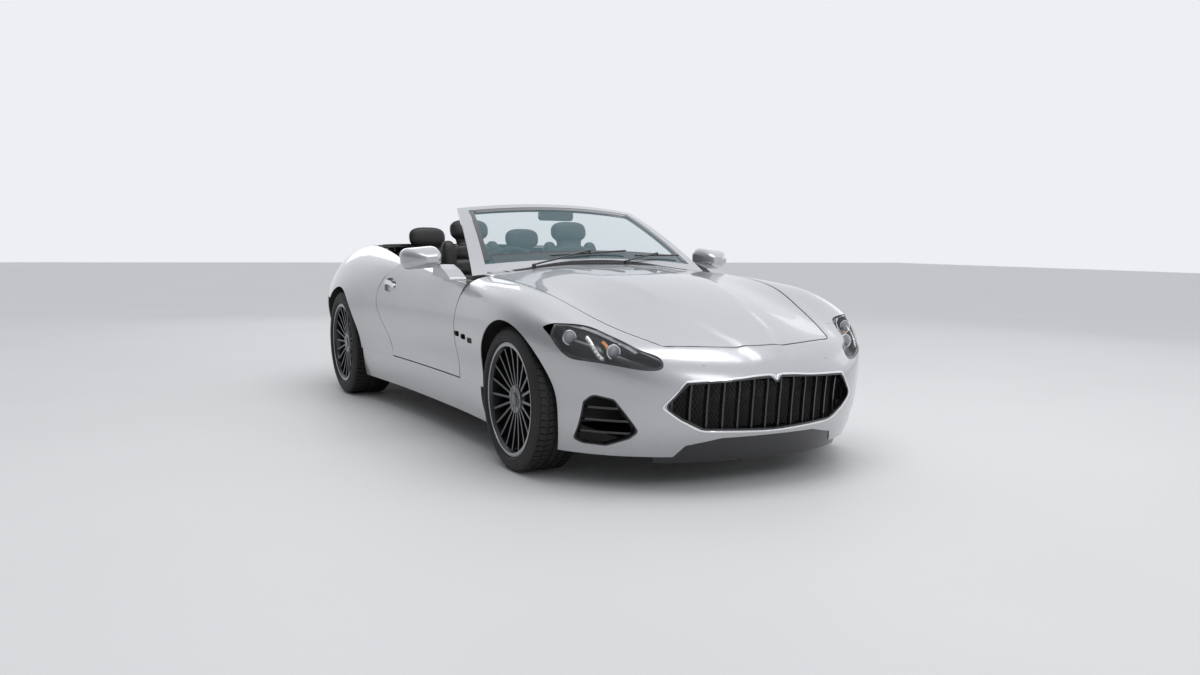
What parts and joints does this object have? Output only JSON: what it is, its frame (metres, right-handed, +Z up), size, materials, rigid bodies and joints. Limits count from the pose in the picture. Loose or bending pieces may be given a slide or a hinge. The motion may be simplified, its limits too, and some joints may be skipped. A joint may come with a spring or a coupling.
{
  "type": "four-seat convertible car",
  "caption": "Open grand touring car: long bonnet, oval slatted grille, soft top stowed, wide rear haunches; wheels roll and steer, doors and lids open.",
  "frame": {"origin": "on the ground under the middle of the car", "axes": "+X to the nose, +Y to the car's left, +Z up"},
  "size_m": [4.9075, 2.0974, 1.296],
  "materials": {
    "body_paint": "silver-white metallic, clear coated",
    "black_trim": "gloss black",
    "clear_glass": "laminated glass",
    "lamp_glass": "clear lamp cover",
    "lamp_housing": "dark lamp bucket",
    "bright_trim": "chrome plated",
    "red_lamp": "red lamp cover",
    "liner_plastic": "moulded",
    "chassis_metal": "primer and sealer",
    "exhaust_steel": "stainless",
    "cabin_leather": "grained",
    "seat_leather": "quilted",
    "top_fabric": "woven",
    "cast_metal": "as cast",
    "tyre_rubber": "moulded",
    "dark_alloy": "dark lacquer",
    "brake_iron": "machined"
  },
  "bodies": {
    "chassis": {"front_wing_fl": "body_paint", "front_wing_fr": "body_paint", "rear_quarter_l": "body_paint", "rear_quarter_r": "body_paint", "front_bumper": "body_paint", "rear_bumper": "body_paint", "side_skirts": "body_paint", "windscreen_frame": "body_paint", "windscreen": "clear_glass", "grille": "black_trim", "intake_grilles": "black_trim", "splitter": "black_trim", "headlamps": "lamp_housing", "headlamp_covers": "lamp_glass", "tail_lamps": "red_lamp", "front_liners": "liner_plastic", "rear_liners": "liner_plastic", "front_structure": "chassis_metal", "floor_pan": "chassis_metal", "boot_tub": "chassis_metal", "undertray": "liner_plastic", "exhaust_pipes": "exhaust_steel", "silencer": "exhaust_steel", "dashboard": "cabin_leather", "console": "cabin_leather", "front_seat_l": "seat_leather", "front_seat_r": "seat_leather", "rear_seat": "seat_leather", "folded_top": "top_fabric", "interior_mirror": "black_trim", "wipers": "black_trim", "engine": "cast_metal", "radiator": "cast_metal", "rear_axle": "cast_metal", "front_subframe": "cast_metal"},
    "bonnet": {"bonnet": "body_paint"},
    "boot_lid": {"boot_lid": "body_paint"},
    "tonneau_cover": {"tonneau_cover": "body_paint"},
    "door_l": {"door_l": "body_paint", "door_handle_l": "bright_trim", "door_mirror_l": "body_paint"},
    "door_r": {"door_r": "body_paint", "door_handle_r": "bright_trim", "door_mirror_r": "body_paint"},
    "steering_wheel": {"steering_wheel": "cabin_leather"},
    "knuckle_l": {"knuckle_fl": "cast_metal"},
    "knuckle_r": {"knuckle_fr": "cast_metal"},
    "wheel_fl": {"tyre_fl": "tyre_rubber", "rim_fl": "dark_alloy", "brake_disc_fl": "brake_iron"},
    "wheel_fr": {"tyre_fr": "tyre_rubber", "rim_fr": "dark_alloy", "brake_disc_fr": "brake_iron"},
    "wheel_rl": {"tyre_rl": "tyre_rubber", "rim_rl": "dark_alloy", "brake_disc_rl": "brake_iron"},
    "wheel_rr": {"tyre_rr": "tyre_rubber", "rim_rr": "dark_alloy", "brake_disc_rr": "brake_iron"}
  },
  "joints": [
    {"name": "steer_r", "type": "hinge", "parent": "chassis", "child": "knuckle_r", "pos_m": [1.575, -0.715, 0.34], "axis": [0, 0, 1], "range_deg": [-33, 33]},
    {"name": "steer_l", "type": "hinge", "parent": "chassis", "child": "knuckle_l", "pos_m": [1.575, 0.715, 0.34], "axis": [0, 0, 1], "range_deg": [-33, 33]},
    {"name": "steering_wheel_turn", "type": "hinge", "parent": "chassis", "child": "steering_wheel", "pos_m": [0.24, -0.35, 0.855], "axis": [-0.9272, 0, 0.3746], "range_deg": [-470, 470]},
    {"name": "wheel_fr_spin", "type": "hinge", "parent": "knuckle_r", "child": "wheel_fr", "pos_m": [1.575, -0.793, 0.34], "axis": [0, 1, 0], "continuous": true},
    {"name": "wheel_fl_spin", "type": "hinge", "parent": "knuckle_l", "child": "wheel_fl", "pos_m": [1.575, 0.793, 0.34], "axis": [0, 1, 0], "continuous": true},
    {"name": "wheel_rr_spin", "type": "hinge", "parent": "chassis", "child": "wheel_rr", "pos_m": [-1.367, -0.795, 0.354], "axis": [0, 1, 0], "continuous": true},
    {"name": "wheel_rl_spin", "type": "hinge", "parent": "chassis", "child": "wheel_rl", "pos_m": [-1.367, 0.795, 0.354], "axis": [0, 1, 0], "continuous": true},
    {"name": "door_r_open", "type": "hinge", "parent": "chassis", "child": "door_r", "pos_m": [0.775, -0.845, 0.545], "axis": [0, 0, 1], "range_deg": [0, 62]},
    {"name": "door_l_open", "type": "hinge", "parent": "chassis", "child": "door_l", "pos_m": [0.775, 0.845, 0.545], "axis": [0, 0, -1], "range_deg": [0, 62]},
    {"name": "bonnet_open", "type": "hinge", "parent": "chassis", "child": "bonnet", "pos_m": [0.76, 0, 0.88553], "axis": [0, -1, 0], "range_deg": [0, 50]},
    {"name": "boot_lid_open", "type": "hinge", "parent": "chassis", "child": "boot_lid", "pos_m": [-1.7135, 0, 1.01022], "axis": [0, 1, 0], "range_deg": [0, 72]},
    {"name": "tonneau_cover_open", "type": "hinge", "parent": "chassis", "child": "tonneau_cover", "pos_m": [-1.7765, 0, 1.0062], "axis": [0, 1, 0], "range_deg": [-60, 0]}
  ],
  "couplings": [
    {"joint": "steer_l", "follows": "steer_r", "ratio": 1},
    {"joint": "steering_wheel_turn", "follows": "steer_r", "ratio": 14}
  ]
}
